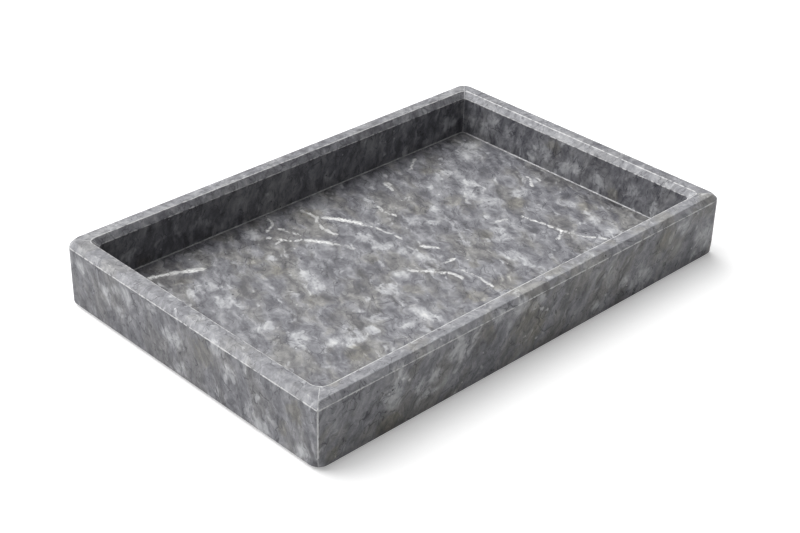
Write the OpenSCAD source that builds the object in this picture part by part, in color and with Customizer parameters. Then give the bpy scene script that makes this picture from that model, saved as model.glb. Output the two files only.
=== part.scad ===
// Rectangular stone tray: a floor slab let in between four mitred walls, glued, on four pads.
// Origin on the table under the middle of the tray, +X along the long side, +Z up.

/* [Tray] */
// Outside length of the tray, along X
tray_l = 300; // [220:5:420]
// Outside width of the tray, along Y
tray_w = 200; // [140:5:300]
// Height from the table to the top of the rim
tray_h = 38; // [30:1:60]

/* [Walls] */
// Thickness of the four wall slabs
wall_t = 12.5; // [10:0.5:20]
// Radius of the outer upright corners
outer_corner_r = 8; // [5:0.5:14]
// Radius of the inner upright corners
inner_corner_r = 4; // [2:0.5:8]

/* [Rim] */
// Width and drop of the bevel round the outside of the rim
outer_bevel = 2.8; // [1:0.1:4]
// Width of the bevel round the inside of the rim
inner_bevel_w = 3.2; // [1:0.1:4]
// Drop of the bevel round the inside of the rim
inner_bevel_h = 3.4; // [1:0.1:5]
// Width and rise of the eased edge round the bottom
bottom_ease = 1.2; // [0.4:0.1:3]

/* [Floor] */
// Thickness of the floor slab
floor_t = 10.5; // [6:0.5:15]
// Width of the glue line between the floor slab and the walls
floor_glue = 0.4; // [0.2:0.1:1]
// Width of the glue line in each mitred corner
corner_glue = 0.3; // [0.2:0.1:1]

/* [Pads] */
// Diameter of each pad under the floor slab
pad_d = 14; // [8:1:20]
// Thickness of each pad
pad_h = 1; // [0.5:0.5:3]
// Distance from the edge of the floor slab to the nearest point of a pad
pad_edge = 4; // [1:0.5:15]

/* [Hidden] */
$fn = 96;
// Height of the stone alone, from its underside to the rim
stone_h = tray_h - pad_h;
// Inside length and width of the well
well_l = tray_l - 2 * wall_t;
well_w = tray_w - 2 * wall_t;
// Centre of a pad, measured from the middle of the tray
pad_x = well_l / 2 - floor_glue - pad_edge - pad_d / 2;
pad_y = well_w / 2 - floor_glue - pad_edge - pad_d / 2;
// How far the cutting shapes run past the stone
over = 1;
// How far a mitre cut reaches in from the outside corner
mitre_reach = wall_t + inner_corner_r + over;
wall_grey = [0.44, 0.44, 0.47];
floor_grey = [0.50, 0.50, 0.53];
glue_grey = [0.74, 0.74, 0.75];
pad_grey = [0.16, 0.16, 0.17];

// Section of the solid block that the walls are part of, from one outside face to the other
function block_section(across) = [
    [-across / 2 + bottom_ease, 0],
    [across / 2 - bottom_ease, 0],
    [across / 2, bottom_ease],
    [across / 2, stone_h - outer_bevel],
    [across / 2 - outer_bevel, stone_h],
    [-across / 2 + outer_bevel, stone_h],
    [-across / 2, stone_h - outer_bevel],
    [-across / 2, bottom_ease]
];

// The same section at a corner, from the corner's axis to the outside face
block_corner_section = [
    [0, 0],
    [outer_corner_r - bottom_ease, 0],
    [outer_corner_r, bottom_ease],
    [outer_corner_r, stone_h - outer_bevel],
    [outer_corner_r - outer_bevel, stone_h],
    [0, stone_h]
];

// Section of the well with its flared rim, cut right through the block
function well_section(across) = [
    [-across / 2, -over],
    [across / 2, -over],
    [across / 2, stone_h - inner_bevel_h],
    [across / 2 + inner_bevel_w, stone_h],
    [across / 2 + inner_bevel_w, stone_h + over],
    [-across / 2 - inner_bevel_w, stone_h + over],
    [-across / 2 - inner_bevel_w, stone_h],
    [-across / 2, stone_h - inner_bevel_h]
];

well_corner_section = [
    [0, -over],
    [inner_corner_r, -over],
    [inner_corner_r, stone_h - inner_bevel_h],
    [inner_corner_r + inner_bevel_w, stone_h],
    [inner_corner_r + inner_bevel_w, stone_h + over],
    [0, stone_h + over]
];

// A section run straight along X or along Y
module along_x(section, length) {
    rotate([90, 0, 90]) linear_extrude(height = length, center = true) polygon(section);
}

module along_y(section, length) {
    rotate([90, 0, 0]) linear_extrude(height = length, center = true) polygon(section);
}

// A section turned about the four upright corner axes of a rectangle
module at_corners(section, length, width, r) {
    for (x = [-1, 1], y = [-1, 1])
        translate([x * (length / 2 - r), y * (width / 2 - r), 0])
            rotate_extrude() polygon(section);
}

// Solid block with rounded corners, bevelled rim and eased bottom edge
module block() {
    along_x(block_section(tray_w), tray_l - 2 * outer_corner_r);
    along_y(block_section(tray_l), tray_w - 2 * outer_corner_r);
    at_corners(block_corner_section, tray_l, tray_w, outer_corner_r);
}

// The space inside the walls
module well() {
    along_x(well_section(well_w), well_l - 2 * inner_corner_r);
    along_y(well_section(well_l), well_w - 2 * inner_corner_r);
    at_corners(well_corner_section, well_l, well_w, inner_corner_r);
}

// All four walls as one ring of stone, standing on the pads' height
module wall_ring() {
    translate([0, 0, pad_h]) difference() {
        block();
        well();
    }
}

// Outline of the well, drawn in by a gap
module well_outline(gap) {
    square([well_l - 2 * gap, well_w - 2 * inner_corner_r], center = true);
    square([well_l - 2 * inner_corner_r, well_w - 2 * gap], center = true);
    for (x = [-1, 1], y = [-1, 1])
        translate([x * (well_l / 2 - inner_corner_r), y * (well_w / 2 - inner_corner_r)])
            circle(r = inner_corner_r - gap);
}

// Region that holds one wall on the -Y side, between its two mitre cuts
module mitred_region(length, width) {
    half_glue = corner_glue / sqrt(2);
    translate([0, 0, -over])
        linear_extrude(height = tray_h + 2 * over)
            polygon([
                [-length / 2 + half_glue - over, -width / 2 - over],
                [length / 2 - half_glue + over, -width / 2 - over],
                [length / 2 - half_glue - mitre_reach, -width / 2 + mitre_reach],
                [-length / 2 + half_glue + mitre_reach, -width / 2 + mitre_reach]
            ]);
}

// The long wall on the -Y side
module long_wall() {
    color(wall_grey) intersection() {
        wall_ring();
        mitred_region(tray_l, tray_w);
    }
}

// The short wall on the -X side
module short_wall() {
    color(wall_grey) intersection() {
        wall_ring();
        rotate([0, 0, -90]) mitred_region(tray_w, tray_l);
    }
}

// Glue in the mitred corner on the side given by two signs
module corner_seam(x, y) {
    color(glue_grey) intersection() {
        wall_ring();
        translate([x * tray_l / 2, y * tray_w / 2, tray_h / 2])
            rotate([0, 0, x * y * 45])
                cube([2 * sqrt(2) * mitre_reach, corner_glue, tray_h + 2 * over], center = true);
    }
}

// Slab that makes the floor of the tray
module base_slab() {
    color(floor_grey) translate([0, 0, pad_h])
        linear_extrude(height = floor_t) well_outline(floor_glue);
}

// Glue between the floor slab and the walls
module floor_seam() {
    color(glue_grey) translate([0, 0, pad_h])
        linear_extrude(height = floor_t) difference() {
            well_outline(0);
            well_outline(floor_glue);
        }
}

module front_wall() { long_wall(); }
module back_wall() { mirror([0, 1, 0]) long_wall(); }
module left_wall() { short_wall(); }
module right_wall() { mirror([1, 0, 0]) short_wall(); }

// Round pad under the floor slab on the side given by two signs
module pad(x, y) {
    color(pad_grey) translate([x * pad_x, y * pad_y, 0]) cylinder(d = pad_d, h = pad_h);
}

base_slab();
front_wall();
back_wall();
left_wall();
right_wall();
floor_seam();
corner_seam(-1, -1);  // seam_front_left
corner_seam(1, -1);  // seam_front_right
corner_seam(-1, 1);  // seam_back_left
corner_seam(1, 1);  // seam_back_right
pad(-1, -1);  // pad_front_left
pad(1, -1);  // pad_front_right
pad(-1, 1);  // pad_back_left
pad(1, 1);  // pad_back_right
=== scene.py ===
# Rectangular grey marble tray: a floor slab between four mitred, bevelled walls, on thin pads.
import math

import bmesh
import bpy
import numpy as np
from mathutils import Matrix, Vector, noise


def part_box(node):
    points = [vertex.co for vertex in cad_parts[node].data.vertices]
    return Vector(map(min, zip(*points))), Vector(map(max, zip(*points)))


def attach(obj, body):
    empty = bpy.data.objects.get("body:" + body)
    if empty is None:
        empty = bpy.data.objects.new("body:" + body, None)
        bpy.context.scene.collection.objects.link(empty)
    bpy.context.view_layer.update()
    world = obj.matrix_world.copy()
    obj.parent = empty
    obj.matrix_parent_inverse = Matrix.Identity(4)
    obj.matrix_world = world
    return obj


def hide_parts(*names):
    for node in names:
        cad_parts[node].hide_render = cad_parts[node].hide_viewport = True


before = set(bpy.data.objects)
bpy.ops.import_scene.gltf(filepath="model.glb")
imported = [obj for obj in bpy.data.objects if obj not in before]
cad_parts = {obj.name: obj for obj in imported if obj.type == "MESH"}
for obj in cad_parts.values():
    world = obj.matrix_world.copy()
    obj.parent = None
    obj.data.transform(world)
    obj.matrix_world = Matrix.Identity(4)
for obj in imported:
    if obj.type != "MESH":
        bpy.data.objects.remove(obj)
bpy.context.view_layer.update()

mm = 0.001


def boxInMm(node):
    low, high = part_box(node)
    return [value / mm for value in low], [value / mm for value in high]


# Sizes of the tray in millimetres, all but the wall's thickness taken from the frame
leftLow = boxInMm("left_wall")[0]
frontLow, frontHigh = boxInMm("front_wall")
slabLow, slabHigh = boxInMm("base_slab")
tray = {
    "length": -2 * leftLow[0],
    "width": -2 * frontLow[1],
    "top": frontHigh[2],
    "foot": frontLow[2],
    "wall": 12.5,
    "floorTop": slabHigh[2],
    "slabLength": slabHigh[0] - slabLow[0],
    "slabWidth": slabHigh[1] - slabLow[1],
}
halfLength = tray["length"] / 2
halfWidth = tray["width"] / 2
wellHalfLength = halfLength - tray["wall"]
wellHalfWidth = halfWidth - tray["wall"]

# The camera, as fitted to the edges of the tray: place in metres, angles in degrees
cameraLook = {
    "place": (-0.5394, -0.5434, 0.4634),
    "yaw": 44.7,
    "pitch": 30.84,
    "roll": 1.44,
    "lens": 73.26,
    "sensor": 36.0,
    "nearest": 0.01,
}


def makeCamera(look):
    yaw, pitch, roll = (math.radians(look[key]) for key in ("yaw", "pitch", "roll"))
    ahead = Vector((math.sin(yaw) * math.cos(pitch), math.cos(yaw) * math.cos(pitch), -math.sin(pitch)))
    level = Vector((math.cos(yaw), -math.sin(yaw), 0))
    above = level.cross(ahead)
    right = math.cos(roll) * level + math.sin(roll) * above
    top = math.cos(roll) * above - math.sin(roll) * level
    camera = bpy.data.objects.new("camera", bpy.data.cameras.new("camera"))
    camera.data.lens = look["lens"]
    camera.data.sensor_width = look["sensor"]
    camera.data.clip_start = look["nearest"]
    turned = Matrix((right, top, -ahead)).transposed().to_4x4()
    camera.matrix_world = Matrix.Translation(look["place"]) @ turned
    bpy.context.collection.objects.link(camera)
    bpy.context.scene.camera = camera


makeCamera(cameraLook)
print("camera set")

noiseMiddle = 0.5


# Shader maths: an expression on signals adds its Math nodes
class Signal:
    def __init__(self, sheet, socket):
        self.sheet = sheet
        self.socket = socket

    def step(self, operation, first, second=0.0):
        made = self.sheet.add("ShaderNodeMath", {"operation": operation}, {0: first, 1: second})
        return Signal(self.sheet, made.outputs[0])

    def __add__(self, other):
        return self.step("ADD", self, other)

    def __radd__(self, other):
        return self.step("ADD", other, self)

    def __sub__(self, other):
        return self.step("SUBTRACT", self, other)

    def __rsub__(self, other):
        return self.step("SUBTRACT", other, self)

    def __mul__(self, other):
        return self.step("MULTIPLY", self, other)

    def __rmul__(self, other):
        return self.step("MULTIPLY", other, self)

    def __abs__(self):
        return self.step("ABSOLUTE", self)

    # Eases from first to last as the signal goes from low to high
    def between(self, low, high, first=0.0, last=1.0):
        made = self.sheet.add("ShaderNodeMapRange", {"interpolation_type": "SMOOTHSTEP"},
                              {0: self, 1: low, 2: high, 3: first, 4: last})
        return Signal(self.sheet, made.outputs[0])

    # How far a noise stands above or below its middle
    def swing(self):
        return self - noiseMiddle


# Node sheet of one material, or of the world
class Sheet:
    def __init__(self, owner):
        self.owner = owner
        owner.use_nodes = True
        self.tree = owner.node_tree
        self.tree.nodes.clear()

    def add(self, kind, settings=None, inputs=None):
        made = self.tree.nodes.new(kind)
        for key, value in (settings or {}).items():
            if key == "stops":
                self.fillRamp(made.color_ramp, value)
            else:
                setattr(made, key, value)
        for key, value in (inputs or {}).items():
            socket = made.inputs[key]
            if isinstance(value, Signal):
                self.tree.links.new(value.socket, socket)
            elif isinstance(value, bpy.types.NodeSocket):
                self.tree.links.new(value, socket)
            else:
                socket.default_value = value
        return made

    def fillRamp(self, ramp, stops):
        while len(ramp.elements) < len(stops):
            ramp.elements.new(0.5)
        for element, (place, colour) in zip(ramp.elements, stops):
            element.position = place
            element.color = (*colour, 1)

    def ramp(self, factor, stops):
        return self.add("ShaderNodeValToRGB", {"stops": stops}, {0: factor}).outputs[0]

    def scaled(self, vector, factor):
        return self.add("ShaderNodeVectorMath", {"operation": "SCALE"}, {0: vector, 3: factor}).outputs[0]

    def moved(self, vector, by, operation="ADD"):
        return self.add("ShaderNodeVectorMath", {"operation": operation}, {0: vector, 1: by}).outputs[0]

    def placeInMm(self):
        return self.scaled(self.add("ShaderNodeTexCoord").outputs["Object"], 1 / mm)

    # A layer of noise is its size in mm, its detail and its roughness
    def noiseNode(self, place, layer):
        size, detail, roughness = layer
        return self.add("ShaderNodeTexNoise", {"noise_dimensions": "3D"},
                        {"Vector": place, "Scale": 1 / size, "Detail": detail, "Roughness": roughness})

    def noise(self, place, layer):
        return Signal(self, self.noiseNode(place, layer).outputs["Fac"])

    def painted(self, name):
        return Signal(self, self.add("ShaderNodeAttribute", {"attribute_name": name}).outputs["Fac"])

    def colourMix(self, factor, first, second, blend="MIX"):
        made = self.add("ShaderNodeMix", {"data_type": "RGBA", "blend_type": blend},
                        {0: factor, 6: first, 7: second})
        return made.outputs[2]

    def bump(self, height, strength, depth):
        made = self.add("ShaderNodeBump", {},
                        {"Strength": strength, "Distance": depth * mm, "Height": height})
        return made.outputs[0]

    def finished(self, inputs):
        shader = self.add("ShaderNodeBsdfPrincipled", {}, inputs)
        self.add("ShaderNodeOutputMaterial", {}, {0: shader.outputs[0]})
        return self.owner


def newMaterial(name):
    return Sheet(bpy.data.materials.new(name))


# The marble that all slabs share. A pair named edge is where a mask is none and where it is full
stone = {
    "drift": (11, 2.0, 0.5), "push": 9.0, "bedStretch": (1, 1, 2.3),
    "cloud": (26, 2.0, 0.5),
    "patch": (4.8, 3.0, 0.45),
    "mottle": (2.6, 2.0, 0.5),
    "fibre": (1.6, 3.0, 0.55),
    "grain": (0.55, 2.0, 0.6),
    "strewn": (4.6, 2.0, 0.4), "strewnEdge": (0.56, 0.74),
    "paleShare": 0.9, "paleFibre": 1.1, "paleMottle": 0.9, "paleEdge": (0.05, 1.1),
    "oliveMottle": 1.6, "oliveEdge": (0.15, 0.9), "oliveShare": 0.6, "oliveTint": (0.80, 0.76, 0.62, 1),
    "veinMottle": 5, "veinPatch": 3, "veinEdge": (0.7, -0.8), "veinFade": (0.36, 0.56, 0.5, 1),
    "veinShare": 0.95, "veinColour": (0.90, 0.90, 0.89, 1),
    "warm": (15, 3.0, 0.6), "warmEdge": (0.45, 0.62), "warmTint": (0.90, 0.87, 0.76, 1),
    "thread": (17, 3.0, 0.55), "threadEdge": (0.013, 0.001),
    "threadGaps": (14, 1.0, 0.5), "threadGapsEdge": (0.52, 0.66),
    "crackCell": 6, "crackEdge": (0.04, 0.006), "crackGaps": (8, 2.0, 0.5), "crackGapsEdge": (0.48, 0.62),
    "hair": (5, 1.5, 0.5), "hairEdge": (0.016, 0.003),
    "hairGaps": (6, 1.0, 0.5), "hairGapsEdge": (0.48, 0.6),
    "spotCell": 7, "spotEdge": (0.11, 0.03), "speckEdge": (0.62, 0.72), "pitEdge": (0.16, 0.12),
    # Arrises are mixed toward a pale grey, partly real wear and partly painted highlight
    "wornAndLit": 0.85, "wornAndLitMottle": 2.2, "wornAndLitNear": (0.05, 0.4), "wornAndLitEdge": (0.35, 0.85),
    "wornAndLitColour": (0.66, 0.66, 0.66, 1),
    "relief": 0.25, "reliefDepth": 0.2, "mottleRelief": 0.5, "grainRelief": 0.35, "crackRelief": 0.3,
    "mottleRoughness": 0.3, "veinPolish": 0.06,
}
# How much each layer lightens or darkens the tone
toneShares = {"cloud": 0.35, "patch": 0.8, "mottle": 0.2, "fibre": 0.26, "grain": 0.17, "thread": 0.08,
              "speck": 0.35, "crack": 0.15, "pit": 0.4}
toneStops = [
    (0.05, (0.012, 0.012, 0.014)),
    (0.28, (0.075, 0.075, 0.088)),
    (0.40, (0.155, 0.156, 0.173)),
    (0.50, (0.238, 0.240, 0.256)),
    (0.60, (0.330, 0.333, 0.352)),
    (0.72, (0.450, 0.455, 0.470)),
    (0.95, (0.660, 0.660, 0.660)),
]
# What each slab has of its own: where it is cut from the block, how its bed lies, and its tones
marbleLooks = {
    "floor": {"cut": (310, 120, 40), "bed": (-90, 0, -25), "tone": 0.405, "contrast": 0.85,
              "pale": 0.25, "strewn": 0.75, "warm": 0.7, "roughness": 0.5},
    "front": {"cut": (20, 410, 15), "bed": (0, 38, 0), "tone": 0.455, "contrast": 0.6,
              "pale": 0.24, "strewn": 0.65, "warm": 0.7, "roughness": 0.46},
    "back": {"cut": (90, 30, 230), "bed": (0, 20, 0), "tone": 0.37, "contrast": 0.8,
             "pale": 0.2, "strewn": 0.8, "warm": 0.2, "roughness": 0.46},
    "left": {"cut": (510, 70, 60), "bed": (-17, 0, 0), "tone": 0.41, "contrast": 0.55,
             "pale": 0.24, "strewn": 0.6, "warm": 0.4, "roughness": 0.46},
    "right": {"cut": (140, 610, 20), "bed": (20, 0, 0), "tone": 0.4, "contrast": 0.7,
              "pale": 0.22, "strewn": 0.8, "warm": 0.2, "roughness": 0.46},
}


def marble(slab):
    look = marbleLooks[slab]
    sheet = newMaterial(slab + "_marble")
    cut = sheet.moved(sheet.placeInMm(), look["cut"])
    drift = sheet.noiseNode(cut, stone["drift"]).outputs["Color"]
    centred = sheet.moved(drift, (noiseMiddle,) * 3, "SUBTRACT")
    warped = sheet.moved(cut, sheet.scaled(centred, stone["push"]))

    # The stone's bed runs along one axis, so patches and fibres are longer that way
    bed = sheet.add("ShaderNodeMapping", {"vector_type": "TEXTURE"}, {
        "Vector": warped, "Rotation": tuple(math.radians(turn) for turn in look["bed"]),
        "Scale": stone["bedStretch"]}).outputs[0]

    cloud = sheet.noise(cut, stone["cloud"]).swing()
    patch = sheet.noise(bed, stone["patch"]).swing()
    mottle = sheet.noise(warped, stone["mottle"])
    mottling = mottle.swing()
    fibre = sheet.noise(bed, stone["fibre"]).swing()
    grain = sheet.noise(cut, stone["grain"])
    pale = sheet.painted("pale")
    arris = sheet.painted("arris")

    # Pale patches, those listed and those strewn at random, and the olive and warm parts
    wisps = fibre * stone["paleFibre"] + mottling * stone["paleMottle"]
    strewn = sheet.noise(bed, stone["strewn"]).between(*stone["strewnEdge"]) * look["strewn"]
    patches = pale * stone["paleShare"] + strewn + wisps * (pale + strewn).between(0, 1)
    paleMask = patches.between(*stone["paleEdge"])
    oliveMask = (sheet.painted("olive") + mottling * stone["oliveMottle"]).between(*stone["oliveEdge"])
    warmMask = sheet.noise(bed, stone["warm"]).between(*stone["warmEdge"]) * look["warm"]
    ragged = sheet.painted("veinGap") + mottling * stone["veinMottle"] + patch * stone["veinPatch"]
    veinMask = ragged.between(*stone["veinEdge"]) * mottle.between(*stone["veinFade"])

    # Thin pale threads and dark hairline cracks that come and go
    threads = abs(sheet.noise(warped, stone["thread"]).swing()).between(*stone["threadEdge"])
    threadMask = threads * sheet.noise(cut, stone["threadGaps"]).between(*stone["threadGapsEdge"])
    cells = sheet.add("ShaderNodeTexVoronoi", {"feature": "DISTANCE_TO_EDGE"},
                      {"Vector": bed, "Scale": 1 / stone["crackCell"]})
    cracks = Signal(sheet, cells.outputs["Distance"]).between(*stone["crackEdge"])
    hairs = abs(sheet.noise(bed, stone["hair"]).swing()).between(*stone["hairEdge"])
    crackMask = (cracks * sheet.noise(cut, stone["crackGaps"]).between(*stone["crackGapsEdge"])
                 + hairs * sheet.noise(cut, stone["hairGaps"]).between(*stone["hairGapsEdge"])).between(0, 1)

    # White specks and black pits
    spots = sheet.add("ShaderNodeTexVoronoi", {}, {"Vector": cut, "Scale": 1 / stone["spotCell"]})
    spot = Signal(sheet, spots.outputs["Distance"]).between(*stone["spotEdge"])
    parted = sheet.add("ShaderNodeSeparateColor", {}, {0: spots.outputs["Color"]})
    chance = Signal(sheet, parted.outputs[0])
    speckMask = spot * chance.between(*stone["speckEdge"])
    pitMask = spot * chance.between(*stone["pitEdge"])

    share = toneShares
    # The tone takes in the rim's painted light, read from the mesh
    tone = (look["tone"] + cloud * share["cloud"] * look["contrast"]
            + patch * share["patch"] * look["contrast"]
            + mottling * share["mottle"] + fibre * share["fibre"] + grain.swing() * share["grain"]
            + paleMask * look["pale"] + sheet.painted("bevel") + threadMask * share["thread"]
            + speckMask * share["speck"] - crackMask * share["crack"] - pitMask * share["pit"])
    grey = sheet.ramp(tone, toneStops)
    browned = sheet.colourMix(oliveMask * stone["oliveShare"], grey, stone["oliveTint"], "MULTIPLY")
    warmed = sheet.colourMix(warmMask * (1 - paleMask), browned, stone["warmTint"], "MULTIPLY")
    veined = sheet.colourMix(veinMask * stone["veinShare"], warmed, stone["veinColour"])
    # Painted highlight and real wear on the arrises, mixed toward a pale grey
    rubbedAndLit = arris + mottling * stone["wornAndLitMottle"] * arris.between(*stone["wornAndLitNear"])
    wornAndLitMask = rubbedAndLit.between(*stone["wornAndLitEdge"]) * stone["wornAndLit"]

    height = (mottle * stone["mottleRelief"] + grain * stone["grainRelief"] - pitMask
              - crackMask * stone["crackRelief"])
    roughness = look["roughness"] + mottling * stone["mottleRoughness"] - veinMask * stone["veinPolish"]
    return sheet.finished({
        "Base Color": sheet.colourMix(wornAndLitMask, veined, stone["wornAndLitColour"]),
        "Roughness": roughness,
        "Normal": sheet.bump(height, stone["relief"], stone["reliefDepth"])})


# Marks in the stone, in millimetres.
# A patch is its place and its two half sizes. A vein is its half width and the points that it runs through.
# Floor: x and y from the well's left front corner
floorMarks = {
    "pale": [
        (38, 116, 6, 6), (42, 133, 3, 5), (44, 66, 5, 6), (37, 85, 6, 5), (52, 80, 3, 2), (85, 98, 4, 6),
        (87, 108, 5, 7), (86, 135, 2, 4), (55, 51, 6, 4), (65, 47, 8, 5), (75, 48, 4, 3), (85, 53, 6, 4),
        (93, 38, 5, 4), (96, 30, 3, 4), (107, 40, 4, 8), (109, 68, 5, 7), (93, 163, 5, 7),
        (137, 117, 5, 6), (139, 103, 5, 5), (143, 93, 3, 4), (147, 80, 4, 9), (126, 76, 4, 5),
        (175, 76, 3, 6), (170, 114, 4, 7), (191, 115, 3, 5), (178, 105, 3, 3), (187, 99, 3, 4),
        (194, 66, 6, 6), (200, 75, 4, 5), (185, 48, 4, 8), (185, 36, 3, 5), (218, 115, 5, 6),
        (222, 102, 5, 8), (229, 123, 4, 5), (240, 96, 6, 5), (252, 69, 5, 6), (250, 46, 5, 5),
        (245, 29, 8, 5), (228, 142, 4, 4), (255, 150, 10, 9), (263, 158, 5, 6),
    ],
    "olive": [
        (75, 138, 6, 5), (75, 125, 8, 7), (57, 36, 8, 7), (124, 97, 4, 3), (119, 60, 5, 7), (76, 85, 6, 6),
        (140, 33, 8, 6), (160, 33, 10, 7), (162, 57, 3, 4), (183, 120, 6, 5), (190, 77, 5, 5),
        (230, 88, 8, 6), (206, 115, 8, 6), (258, 58, 5, 6), (133, 157, 6, 6), (36, 148, 6, 4),
        (220, 152, 5, 5),
    ],
    "vein": [
        (1.6, [(23, 162), (30, 160), (37, 157)]),
        (1.7, [(40, 156), (45, 153), (49, 151)]),
        (0.6, [(97, 154), (100, 150), (105, 141), (110, 140)]),
        (0.6, [(96, 145), (100, 146)]),
        (1.4, [(112, 137), (115, 133), (118, 128), (119, 125)]),
        (0.4, [(119, 125), (123, 120), (125, 112)]),
        (0.6, [(113, 173), (111, 168), (109, 163), (102, 159)]),
        (0.5, [(108, 158), (110, 150), (112, 146)]),
        (0.8, [(132, 165), (133, 155), (134, 153), (129, 149), (127, 141), (128, 131)]),
        (1.5, [(136, 150), (140, 144), (143, 139), (146, 133), (147, 130)]),
        (0.4, [(147, 130), (150, 122), (151, 112)]),
        (0.5, [(168, 140), (166, 133), (168, 125)]),
        (0.4, [(152, 112), (152, 103)]),
        (0.8, [(131, 76), (139, 68), (142, 63), (145, 60), (147, 55), (147, 51)]),
        (0.5, [(153, 59), (154, 45), (152, 30)]),
        (0.7, [(155, 90), (160, 82)]),
        (0.7, [(150, 69), (159, 68)]),
        (0.9, [(206, 81), (212, 79)]),
        (0.7, [(222, 75), (224, 62), (226, 50), (230, 37), (237, 27)]),
        (0.5, [(217, 44), (225, 49)]),
        (0.4, [(253, 97), (259, 104), (260, 108)]),
        (0.4, [(262, 98), (264, 103)]),
        (0.7, [(190, 158), (188, 148)]),
        (0.6, [(192, 158), (191, 153)]),
        (0.6, [(214, 160), (226, 168)]),
    ],
}
# Left wall: from the back corner along the wall, and up from the foot
leftMarks = {
    "pale": [
        (15, 28, 4, 4), (38, 22, 3, 4), (46, 27, 4, 3), (48, 15, 3, 4), (56, 27, 5, 5), (77, 31, 4, 3),
        (92, 21, 7, 7), (97, 5, 6, 4), (127, 32, 6, 4), (136, 23, 6, 4), (151, 8, 4, 8), (158, 20, 3, 3),
        (160, 4, 6, 4), (190, 6, 5, 5),
    ],
    "olive": [(118, 25, 8, 8), (185, 25, 6, 6), (175, 12, 4, 4)],
    "vein": [],
}
# Front wall: from the left corner along the wall, and up from the foot
frontMarks = {
    "pale": [
        (47, 20, 6, 8), (54, 29, 3, 4), (65, 17, 4, 4), (72, 11, 8, 3), (75, 20, 5, 4), (90, 27, 8, 6),
        (119, 34, 5, 3), (136, 32, 5, 4), (145, 28, 4, 3), (150, 30, 4, 3), (195, 8, 3, 3),
        (217, 13, 5, 4), (232, 10, 10, 6), (225, 31, 3, 3), (268, 28, 5, 5), (287, 14, 8, 8),
    ],
    "olive": [(142, 18, 12, 12), (45, 6, 8, 6), (8, 5, 5, 4), (252, 25, 8, 6), (113, 25, 5, 5)],
    "vein": [(0.35, [(137, 14), (148, 9)]), (0.4, [(50, 29), (58, 25)]), (0.4, [(145, 28), (155, 22)])],
}
# Back and right walls: the inner faces, from the well's left or back corner, and up from the foot
backMarks = {
    "pale": [
        (265, 20, 6, 4), (224, 12, 3, 2), (242, 13, 3, 3), (78, 14, 4, 3), (67, 22, 8, 3), (20, 20, 4, 4),
    ],
    "olive": [(28, 12, 5, 4)],
    "vein": [],
}
rightMarks = {
    "pale": [
        (5, 20, 4, 5), (19, 19, 5, 5), (26, 27, 5, 4), (68, 22, 5, 5), (83, 17, 5, 4), (57, 15, 4, 3),
        (37, 24, 4, 4), (92, 20, 4, 4), (110, 18, 5, 5), (135, 22, 5, 5), (152, 16, 4, 5),
    ],
    "olive": [(75, 28, 6, 4), (122, 14, 5, 4)],
    "vein": [],
}
# How the marks lie in the stone: how far they wander from their places, and how they fade with depth
markShape = {
    "wander": 2.2,
    "wanderSize": 9,
    "wanderLevel": 3.7,
    "veinWander": 0.25,
    "patchDepth": 5.0,
    "patchEdge": 1.45,
    "veinDepth": 0.5,
    "farFromVein": 6.0,
}


def patchStrength(across, depth, patches):
    strength = np.zeros(len(across))
    for u, v, wide, tall in patches:
        apart = np.sqrt(((across[:, 0] - u) / wide) ** 2 + ((across[:, 1] - v) / tall) ** 2
                        + (depth / markShape["patchDepth"]) ** 2)
        strength = np.maximum(strength, np.clip(markShape["patchEdge"] - apart, 0, 1))
    return strength


def veinDistance(across, depth, veins):
    nearest = np.full(len(across), markShape["farFromVein"])
    for half, line in veins:
        for start, end in zip(line[:-1], line[1:]):
            start, end = np.array(start, float), np.array(end, float)
            run = end - start
            along = np.clip(((across - start) @ run) / (run @ run), 0, 1)
            gap = np.linalg.norm(across - start - along[:, None] * run, axis=1) - half
            nearest = np.minimum(nearest, gap + depth * markShape["veinDepth"])
    return nearest


# Writes the marks to the mesh, with the arris weights (real wear and painted highlight) and the rim's
# painted light, so that the marble can read them at each point
def paintMarks(mesh, across, depth, marks, arrisValues, rimLightValues):
    size, level = markShape["wanderSize"], markShape["wanderLevel"]
    sways = [noise.noise_vector(Vector((u / size, v / size, level)))[:2] for u, v in across]
    wander = np.array(sways) * markShape["wander"]
    layers = {
        "pale": patchStrength(across + wander, depth, marks["pale"]),
        "olive": patchStrength(across + wander, depth, marks["olive"]),
        "veinGap": veinDistance(across + wander * markShape["veinWander"], depth, marks["vein"]),
        "arris": arrisValues,
        "bevel": rimLightValues,
    }
    for name, values in layers.items():
        layer = mesh.attributes.new(name, "FLOAT", "POINT")
        layer.data.foreach_set("value", np.asarray(values, dtype=np.float32))


sharpAngle = 14


def finishPiece(name, points, faces, material, node, slot):
    mesh = bpy.data.meshes.new(name)
    mesh.from_pydata([(x * mm, y * mm, z * mm) for x, y, z in points], [], faces)
    solid = bmesh.new()
    solid.from_mesh(mesh)
    bmesh.ops.recalc_face_normals(solid, faces=solid.faces)
    solid.to_mesh(mesh)
    solid.free()
    mesh.shade_smooth()
    mesh.set_sharp_from_angle(angle=math.radians(sharpAngle))
    mesh.materials.append(material)
    piece = bpy.data.objects.new(name, mesh)
    bpy.context.collection.objects.link(piece)
    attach(piece, "root")
    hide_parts(node)
    return piece


# Four-sided faces between rings of points that follow one another
def ringFaces(rings, count, closed=False):
    faces = []
    for ring in range(rings if closed else rings - 1):
        start, after = ring * count, (ring + 1) % rings * count
        for k in range(count):
            n = (k + 1) % count
            faces.append((start + k, start + n, after + n, after + k))
    return faces


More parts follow.
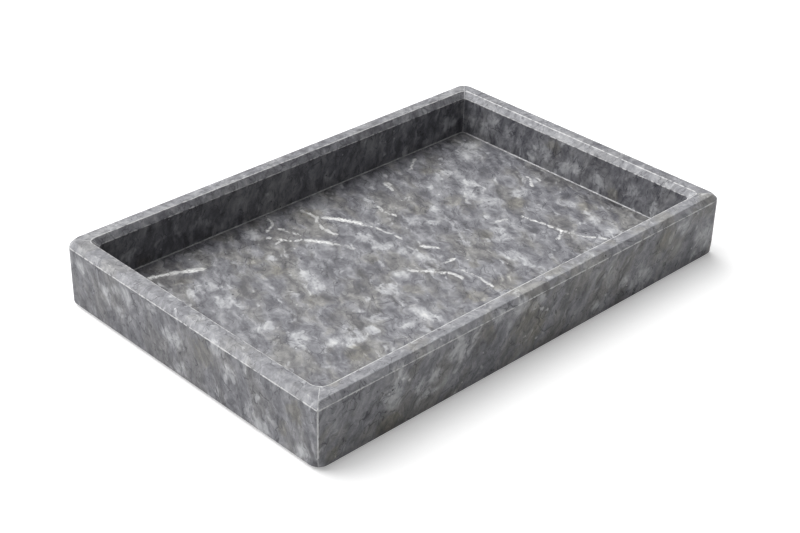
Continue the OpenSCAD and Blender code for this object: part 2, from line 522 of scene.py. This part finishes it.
# Walls: radii of the four corners, outside at the top and at the foot, and inside
cornerShapes = {
    (-1, -1): {"outer": 1.3, "foot": 6.5, "rim": 7.0, "well": 4.0},
    (-1, 1): {"outer": 8.0, "foot": 8.0, "rim": 4.4, "well": 4.0},
    (1, -1): {"outer": 6.0, "foot": 7.0, "rim": 3.4, "well": 3.4},
    (1, 1): {"outer": 8.0, "foot": 8.0, "rim": 3.0, "well": 3.0},
}
wallShape = {
    "outerBevel": 2.8,
    "innerBevelWidth": 3.2,
    "innerBevelDrop": 3.4,
    "ease": 1.2,
    "softness": 0.36,
    "softReach": 1.5,
    "softCut": 0.28,
    "rowStep": 2.2,
    "alongStep": 2.0,
    "arcSteps": 8,
    "glue": 0.3,
    # The outside radius goes over to that of the foot below this height, and shrinks toward the rim
    "footTop": 9,
    "footReach": 8,
    "radiusPerInset": 0.75,
    "leastRadius": 0.9,
    "wave": 0.09,
    "waveLength": 35,
    "waveHeight": 25,
    "faceInset": 0.05,
    "aboveFloor": 1,
    "chip": 0.28,
    "chipStart": 0.35,
    "chipLength": 5,
    "chipHeight": 4,
    "chipSeed": 9,
    "chipGroup": 13,
    "chipGroupSeed": 4,
    # A corner sharper than this radius has an upright arris with real wear and a painted highlight line, on
    # this share of its arc
    "sharpRadius": 2,
    "uprightShare": 0.3,
    "uprightInset": 0.5,
    "uprightWearAndHighlight": 0.95,
}
# How pale each arris is made, partly real wear and partly painted highlight, from the foot outside over the
# rim to the foot inside
arrisWearAndHighlight = {"foot": 0.3, "outerLow": 1, "outerHigh": 0.3, "innerHigh": 1, "innerLow": 0.8, "hidden": 0,
             "besideShare": 0.5}


# Cross-section of a wall as rows of (inset from the outside face, height, how much wear and painted
# highlight the arris has there)
def wallSection():
    shape, wearAndHighlight = wallShape, arrisWearAndHighlight
    top, foot, wall = tray["top"], tray["foot"], tray["wall"]
    corners = [
        (shape["ease"], foot, wearAndHighlight["foot"]),
        (0, foot + shape["ease"], wearAndHighlight["foot"]),
        (0, top - shape["outerBevel"], wearAndHighlight["outerLow"]),
        (shape["outerBevel"], top, wearAndHighlight["outerHigh"]),
        (wall - shape["innerBevelWidth"], top, wearAndHighlight["innerHigh"]),
        (wall, top - shape["innerBevelDrop"], wearAndHighlight["innerLow"]),
        (wall, foot, wearAndHighlight["hidden"]),
    ]
    rows = []
    for index, (inset, height, wornAndLit) in enumerate(corners):
        before = corners[index - 1]
        after = corners[(index + 1) % len(corners)]
        here = Vector((inset, height))
        back = (Vector(before[:2]) - here).normalized() * shape["softness"]
        on = (Vector(after[:2]) - here).normalized() * shape["softness"]
        rows.append((*(here + back * shape["softReach"]), 0))
        rows.append((*(here + back), wornAndLit * wearAndHighlight["besideShare"]))
        rows.append((*(here + (back + on) * shape["softCut"]), wornAndLit))
        rows.append((*(here + on), wornAndLit * wearAndHighlight["besideShare"]))
        rows.append((*(here + on * shape["softReach"]), 0))
        span = Vector(after[:2]) - here
        pieces = max(1, int(span.length / shape["rowStep"]))
        rows += [(*(here + span * (count / pieces)), 0) for count in range(1, pieces)]
    return rows


# Unit vector from a point of the cross-section to the middle of the wall
def towardsMiddle(inset, height):
    middle = Vector((tray["wall"] / 2, (tray["top"] + tray["foot"]) / 2))
    return Vector((middle.x - inset, middle.y - height)).normalized()


# Radius of a row's outline at one corner
def rowRadius(corner, inset, height):
    shape = wallShape
    innerBevelStart = tray["wall"] - shape["innerBevelWidth"]
    if inset >= innerBevelStart:
        share = (inset - innerBevelStart) / shape["innerBevelWidth"]
        return corner["rim"] + (corner["well"] - corner["rim"]) * share
    toFoot = min(max((shape["footTop"] - height) / shape["footReach"], 0), 1)
    eased = toFoot * toFoot * (3 - 2 * toFoot)
    face = corner["outer"] + (corner["foot"] - corner["outer"]) * eased
    onBevel = min(inset, shape["outerBevel"])
    outer = max(face - onBevel * shape["radiusPerInset"], shape["leastRadius"])
    if inset <= shape["outerBevel"]:
        return outer
    share = (inset - shape["outerBevel"]) / (innerBevelStart - shape["outerBevel"])
    return outer + (corner["rim"] - outer) * share


# Stations along a wall, as (kind, share): an arc, a straight run and an arc
def wallStations(length):
    shape = wallShape
    arcs = [index / shape["arcSteps"] for index in range(shape["arcSteps"])]
    count = int(length / shape["alongStep"])
    runs = [index / count for index in range(count + 1)]
    stations = [("start", share) for share in arcs] + [("run", share) for share in runs]
    return stations + [("end", share) for share in reversed(arcs)]


# Place of a row at a station, in its own wall's frame: along the wall, and inward
def stationPoint(station, reach, inset, radii):
    kind, share = station
    startRadius, endRadius = radii
    if kind == "run":
        first, last = -reach + inset + startRadius, reach - inset - endRadius
        return first + (last - first) * share, inset
    radius = startRadius if kind == "start" else endRadius
    turn = math.pi / 4 - math.asin(wallShape["glue"] / 2 / radius)
    angle = turn * (1 - share)
    out = reach - inset - radius + radius * math.sin(angle)
    inward = inset + radius - radius * math.cos(angle)
    return (-out if kind == "start" else out), inward


# Slow waves of the outside face, and chips that bite into the arrises
def waveAndChip(along, inset, height, seed, arris):
    shape = wallShape
    wave = noise.noise(Vector((along / shape["waveLength"], (inset + height) / shape["waveHeight"], seed)))
    chipSeed, groupSeed = seed + shape["chipSeed"], seed + shape["chipGroupSeed"]
    bite = noise.noise(Vector((along / shape["chipLength"], inset / shape["chipHeight"], chipSeed)))
    bite += noise.noise(Vector((along / shape["chipGroup"], 0, groupSeed)))
    chip = max(bite - shape["chipStart"], 0) * shape["chip"] * arris
    return (wave * shape["wave"] if inset < shape["faceInset"] else 0), chip


# Painted light on the rim: the tone is lifted, by side, on the outer bevelled strip, the flat and the inner
# bevelled strip. The strips that face the lamp get a painted highlight, and the flats get a lift that is
# partly a lighter finish and partly painted light
rimPaintedLight = {
    "left": (0.075, 0.03, 0.0),
    "right": (0.0, 0.04, 0.1),
    "front": (0.035, 0.04, 0.02),
    "back": (0.03, 0.07, 0.02),
}
rimSlack = 0.1


def rimLightLift(side, inset, height):
    outer, flat, inner = rimPaintedLight[side]
    outerBevel, innerDrop = wallShape["outerBevel"], wallShape["innerBevelDrop"]
    if height < tray["top"] - max(outerBevel, innerDrop) + rimSlack:
        return 0
    if inset < outerBevel - rimSlack:
        return outer if height > tray["top"] - outerBevel + rimSlack else 0
    return inner if inset > tray["wall"] - wallShape["innerBevelWidth"] + rimSlack else flat


# Each wall is built as if it were the front one, then turned to its side by (cosine, sine).
# The marks of the near walls lie on the outside face, those of the far walls on the inner face.
wallSides = {
    "front": {"turn": (1, 0), "corners": ((-1, -1), (1, -1)), "seed": 1.3,
              "marks": frontMarks, "near": True},
    "back": {"turn": (-1, 0), "corners": ((1, 1), (-1, 1)), "seed": 4.1,
             "marks": backMarks, "near": False},
    "left": {"turn": (0, -1), "corners": ((-1, 1), (-1, -1)), "seed": 5.7,
             "marks": leftMarks, "near": True},
    "right": {"turn": (0, 1), "corners": ((1, -1), (1, 1)), "seed": 2.9,
              "marks": rightMarks, "near": False},
}


def buildWall(side, own):
    shape = wallShape
    rows = wallSection()
    longSide = side in ("front", "back")
    reach = halfLength if longSide else halfWidth
    across = halfWidth if longSide else halfLength
    cosine, sine = own["turn"]
    startCorner, endCorner = (cornerShapes[key] for key in own["corners"])
    stations = wallStations(2 * reach)
    points, places, depths, arrises, rimLights = [], [], [], [], []
    for kind, share in stations:
        for inset, height, arris in rows:
            radii = (rowRadius(startCorner, inset, height), rowRadius(endCorner, inset, height))
            along, inward = stationPoint((kind, share), reach, inset, radii)
            wave, chip = waveAndChip(along, inset, height, own["seed"], arris)
            behindFloor = height < tray["floorTop"] + shape["aboveFloor"] and inset > tray["wall"] / 2
            bite = 0 if behindFloor else chip
            way = towardsMiddle(inset, height)
            inward += bite * way.x + wave
            x, y = along, -across + inward
            points.append((cosine * x - sine * y, sine * x + cosine * y, height + bite * way.y))

            fromCorner = reach + along if own["near"] else reach - tray["wall"] - along
            places.append((fromCorner, height - tray["foot"]))
            depths.append(inward if own["near"] else tray["wall"] - inward)
            # The upright arris of a sharp corner gets a bright painted highlight line, partly real wear
            sharp = kind != "run" and radii[1 if kind == "end" else 0] < shape["sharpRadius"]
            upright = sharp and share < shape["uprightShare"] and inset < shape["uprightInset"]
            arrises.append(max(arris, shape["uprightWearAndHighlight"]) if upright else arris)
            # Painted light on the rim, lifted by side
            rimLights.append(rimLightLift(side, inset, height))
    count = len(rows)
    # A wall's quads are listed along the wall first
    faces = [(a, d, c, b) for a, b, c, d in ringFaces(len(stations), count)]
    faces.append(tuple(range(count)))
    faces.append(tuple((len(stations) - 1) * count + k for k in reversed(range(count))))
    piece = finishPiece(side + "_wall_stone", points, faces, marble(side), side + "_wall", side + "_marble")
    paintMarks(piece.data, np.array(places), np.maximum(depths, 0), own["marks"], arrises, rimLights)


for side, own in wallSides.items():
    buildWall(side, own)
print("walls built")

# Steps of the well's outline, along its sides in mm and in each corner
outlineSteps = {"straight": 2.0, "arc": 6}


# Point on a rounded corner of the well, drawn in by a gap
def wellCornerPoint(sign, degrees, gap):
    angle = math.radians(degrees)
    radius = cornerShapes[sign]["well"]
    centre = Vector((sign[0] * (wellHalfLength - radius), sign[1] * (wellHalfWidth - radius)))
    return centre + (radius - gap) * Vector((math.cos(angle), math.sin(angle)))


# Outline of the well, drawn in by a gap, as points round it
def wellOutline(gap):
    outline = []
    arc = outlineSteps["arc"]
    order = [((-1, -1), 180), ((1, -1), 270), ((1, 1), 0), ((-1, 1), 90)]
    for index, (sign, firstAngle) in enumerate(order):
        outline += [wellCornerPoint(sign, firstAngle + 90 * turn / arc, gap) for turn in range(arc + 1)]
        here = outline[-1]
        goal = wellCornerPoint(*order[(index + 1) % len(order)], gap)
        count = int((goal - here).length / outlineSteps["straight"])
        outline += [here.lerp(goal, k / count) for k in range(1, count)]
    return outline


# Floor: a grid for the top, a dropped edge with a small chamfer, and a flat underside
slabShape = {
    "cell": 1.35,
    "cornerRadius": 3.2,
    "wave": 0.05,
    "waveSize": 30,
    "waveLevel": 7.7,
    "chamfer": 0.5,
}


# Draws a grid point at a corner in to the corner's arc
def roundedIn(x, y, reachX, reachY, radius):
    pastX, pastY = abs(x) - (reachX - radius), abs(y) - (reachY - radius)
    if pastX <= 0 or pastY <= 0 or math.hypot(pastX, pastY) <= radius:
        return x, y
    scale = radius / math.hypot(pastX, pastY)
    x = math.copysign(reachX - radius + pastX * scale, x)
    y = math.copysign(reachY - radius + pastY * scale, y)
    return x, y


def buildSlab(shape):
    countX = int(tray["slabLength"] / shape["cell"])
    countY = int(tray["slabWidth"] / shape["cell"])
    reachX, reachY = tray["slabLength"] / 2, tray["slabWidth"] / 2
    points, places = [], []
    for j in range(countY + 1):
        for i in range(countX + 1):
            x = -reachX + 2 * reachX * i / countX
            y = -reachY + 2 * reachY * j / countY
            x, y = roundedIn(x, y, reachX, reachY, shape["cornerRadius"])
            wave = noise.noise(Vector((x / shape["waveSize"], y / shape["waveSize"], shape["waveLevel"])))
            points.append((x, y, tray["floorTop"] + wave * shape["wave"]))
            places.append((x + wellHalfLength, y + wellHalfWidth))
    row = countX + 1
    faces = [(j * row + i, j * row + i + 1, (j + 1) * row + i + 1, (j + 1) * row + i)
             for j in range(countY) for i in range(countX)]
    rim = list(range(row)) + [j * row + countX for j in range(1, countY + 1)]
    rim += [countY * row + i for i in reversed(range(countX))]
    rim += [j * row for j in reversed(range(1, countY))]
    above = rim
    for height, draw in ((tray["foot"] + shape["chamfer"], 0), (tray["foot"], shape["chamfer"])):
        below = list(range(len(points), len(points) + len(rim)))
        for index in rim:
            x, y = points[index][:2]
            points.append((x * (1 - draw / reachX), y * (1 - draw / reachY), height))
            places.append(places[index])
        for k in range(len(rim)):
            n = (k + 1) % len(rim)
            faces.append((above[k], below[k], below[n], above[n]))
        above = below
    faces.append(tuple(reversed(above)))
    piece = finishPiece("floor_slab_stone", points, faces, marble("floor"), "base_slab", "floor_marble")
    depths = [tray["floorTop"] - height for x, y, height in points]
    unworn = np.zeros(len(points))
    paintMarks(piece.data, np.array(places), np.maximum(depths, 0), floorMarks, unworn, unworn)


buildSlab(slabShape)
print("floor slab built")

# Glue: a small hollow bead round the floor, and a thin line in each mitre
glueShape = {
    "width": 0.4,
    "climb": 0.35,
    "hollow": (0.25, 0.18),
    "reach": 0.75,
    "lip": 0.06,
    "tuck": 0.1,
    "footGap": 0.2,
    "uneven": 0.35,
    "unevenSize": 2.5,
    "unevenLevel": 1.9,
    "climbUneven": 0.6,
    "nearWall": 1,
    "sunk": 0.02,
}
glueLook = {
    "colour": (0.62, 0.62, 0.63),
    "darker": 0.45,
    "lumps": (1.6, 3.0, 0.6),
    "dirt": (5, 2.0, 0.5),
    "lumpShare": 0.6,
    "stops": (0.38, 0.6),
    "relief": 0.4,
    "reliefDepth": 0.1,
    "roughness": 0.55,
    "roughnessSpread": 0.3,
}


def glueMaterial(look):
    sheet = newMaterial("stone_glue")
    place = sheet.placeInMm()
    lumps = sheet.noise(place, look["lumps"])
    dirt = sheet.noise(place, look["dirt"])
    darker = tuple(value * look["darker"] for value in look["colour"])
    mixed = lumps * look["lumpShare"] + dirt * (1 - look["lumpShare"])
    return sheet.finished({
        "Base Color": sheet.ramp(mixed, list(zip(look["stops"], (darker, look["colour"])))),
        "Roughness": look["roughness"] + lumps.swing() * look["roughnessSpread"],
        "Normal": sheet.bump(lumps, look["relief"], look["reliefDepth"])})


glue = glueMaterial(glueLook)


def buildBead(shape):
    top, foot = tray["floorTop"], tray["foot"] + shape["footGap"]
    hollowGap, hollowHeight = shape["hollow"]
    # A row is its gap, its height, and how much of the unevenness goes up and inward
    rows = [
        (0.0, foot, 0, 0),
        (0.0, top + shape["climb"], shape["climbUneven"], 0),
        (hollowGap, top + hollowHeight, 0, 0),
        (shape["reach"], top + shape["lip"], 0, 1),
        (shape["width"], top - shape["tuck"], 0, 0),
        (shape["width"], foot, 0, 0),
    ]
    outlines = [wellOutline(row[0]) for row in rows]
    count = min(len(outline) for outline in outlines)
    points = []
    for (gap, height, upShare, inShare), outline in zip(rows, outlines):
        for x, y in outline[:count]:
            place = Vector((x / shape["unevenSize"], y / shape["unevenSize"], shape["unevenLevel"]))
            swell = noise.noise(place) * shape["uneven"]
            inward = swell * inShare
            x -= math.copysign(inward, x) if abs(x) > wellHalfLength - shape["nearWall"] else 0
            y -= math.copysign(inward, y) if abs(y) > wellHalfWidth - shape["nearWall"] else 0
            points.append((x, y, height + swell * upShare))
    faces = ringFaces(len(rows), count, closed=True)
    finishPiece("floor_glue_bead", points, faces, glue, "floor_seam", "stone_glue")


def buildCornerSeam(words, sign):
    corner = cornerShapes[sign]
    half = wallShape["glue"] / 2
    outward = Vector(sign).normalized()
    aside = Vector((-outward.y, outward.x))
    rows = wallSection()
    points = []
    for flank in (-1, 1):
        for inset, height, arris in rows:
            radius = rowRadius(corner, inset, height)
            centre = Vector((sign[0] * (halfLength - inset - radius),
                             sign[1] * (halfWidth - inset - radius)))
            sunk = towardsMiddle(inset, height) * glueShape["sunk"]
            place = centre + outward * (radius - sunk.x) + aside * half * flank
            points.append((place.x, place.y, height + sunk.y))
    count = len(rows)
    faces = ringFaces(2, count)
    faces += [tuple(reversed(range(count))), tuple(range(count, 2 * count))]
    finishPiece("glue_line_" + words, points, faces, glue, "seam_" + words, "stone_glue")


cornerWords = {(-1, -1): "front_left", (1, -1): "front_right", (-1, 1): "back_left", (1, 1): "back_right"}
buildBead(glueShape)
for sign, words in cornerWords.items():
    buildCornerSeam(words, sign)
print("glue built")

# Pads: round rubber discs with a soft edge and a shallow dish below
padShape = {
    "segments": 48,
    "edge": 0.25,
    "edgeCut": 0.3,
    "dishReach": 4.6,
    "dishDepth": 0.2,
    "dishSlope": 1,
    "dishLip": 0.3,
    "lipShare": 0.25,
}
rubberLook = {
    "stops": [(0.35, (0.018, 0.018, 0.02)), (0.7, (0.05, 0.05, 0.054))],
    "grit": (0.6, 3.0, 0.6),
    "relief": 0.5,
    "reliefDepth": 0.1,
    "roughness": 0.75,
    "roughnessSpread": 0.3,
}


def rubberMaterial(look):
    sheet = newMaterial("pad_rubber")
    grit = sheet.noise(sheet.placeInMm(), look["grit"])
    return sheet.finished({
        "Base Color": sheet.ramp(grit, look["stops"]),
        "Roughness": look["roughness"] + grit.swing() * look["roughnessSpread"],
        "Normal": sheet.bump(grit, look["relief"], look["reliefDepth"])})


rubber = rubberMaterial(rubberLook)


def buildPad(words, shape):
    low, high = boxInMm("pad_" + words)
    centre = Vector(((low[0] + high[0]) / 2, (low[1] + high[1]) / 2))
    radius, edge, cut = (high[0] - low[0]) / 2, shape["edge"], shape["edge"] * shape["edgeCut"]
    dish, bottom, top = shape["dishReach"], low[2], high[2]
    section = [
        (dish - shape["dishSlope"], bottom + shape["dishDepth"]),
        (dish, bottom + edge * shape["lipShare"]),
        (dish + shape["dishLip"], bottom),
        (radius - edge, bottom),
        (radius - cut, bottom + cut),
        (radius, bottom + edge),
        (radius, top - edge),
        (radius - cut, top - cut),
        (radius - edge, top),
    ]
    count = shape["segments"]
    points = []
    for reach, height in section:
        for turn in range(count):
            angle = 2 * math.pi * turn / count
            points.append((centre.x + reach * math.cos(angle), centre.y + reach * math.sin(angle), height))
    faces = ringFaces(len(section), count)
    faces.append(tuple(reversed(range(count))))
    faces.append(tuple(range((len(section) - 1) * count, len(section) * count)))
    finishPiece("rubber_pad_" + words, points, faces, rubber, "pad_" + words, "pad_rubber")


for words in cornerWords.values():
    buildPad(words, padShape)
print("pads built")


def plainGrey(value):
    return (value, value, value, 1)


# White table that keeps the tray's soft shadow
tableLook = {"size": 6.0, "colour": 0.86, "lift": 0.34}


def buildTable(look):
    half = look["size"] / 2
    corners = [(-half, -half, 0), (half, -half, 0), (half, half, 0), (-half, half, 0)]
    mesh = bpy.data.meshes.new("table_top")
    mesh.from_pydata(corners, [], [(0, 1, 2, 3)])
    table = bpy.data.objects.new("table_top", mesh)
    bpy.context.collection.objects.link(table)
    sheet = newMaterial("table_white")
    seen = sheet.add("ShaderNodeLightPath").outputs["Is Camera Ray"]
    mesh.materials.append(sheet.finished({
        "Base Color": plainGrey(look["colour"]), "Roughness": 1.0, "Specular IOR Level": 0.0,
        "Emission Color": sheet.colourMix(seen, plainGrey(0), plainGrey(look["lift"])),
        "Emission Strength": 1.0}))


buildTable(tableLook)
print("table built")

# Light: one broad soft lamp, mostly from behind, and a dim room that looks white
lightLook = {"bearing": 72, "height": 51, "angle": 80, "strength": 4.5, "room": 0.13}


def makeLight(look):
    lamp = bpy.data.objects.new("soft_key", bpy.data.lights.new("soft_key", "SUN"))
    lamp.data.energy = look["strength"]
    lamp.data.angle = math.radians(look["angle"])
    bearing, height = math.radians(look["bearing"]), math.radians(look["height"])
    left, behind = math.cos(bearing) * math.cos(height), math.sin(bearing) * math.cos(height)
    towards = Vector((-left, behind, math.sin(height)))
    lamp.rotation_euler = towards.to_track_quat("Z", "Y").to_euler()
    bpy.context.collection.objects.link(lamp)


def makeRoom(look):
    world = bpy.data.worlds.new("white_room")
    bpy.context.scene.world = world
    sheet = Sheet(world)
    path = sheet.add("ShaderNodeLightPath")
    seen = sheet.add("ShaderNodeMath", {"operation": "MAXIMUM"},
                     {0: path.outputs["Is Camera Ray"], 1: path.outputs["Is Glossy Ray"]}).outputs[0]
    colour = sheet.colourMix(seen, plainGrey(look["room"]), plainGrey(1))
    background = sheet.add("ShaderNodeBackground", {}, {"Color": colour})
    sheet.add("ShaderNodeOutputWorld", {}, {0: background.outputs[0]})


makeLight(lightLook)
makeRoom(lightLook)
bpy.context.scene.view_settings.view_transform = "Standard"
print("light set")
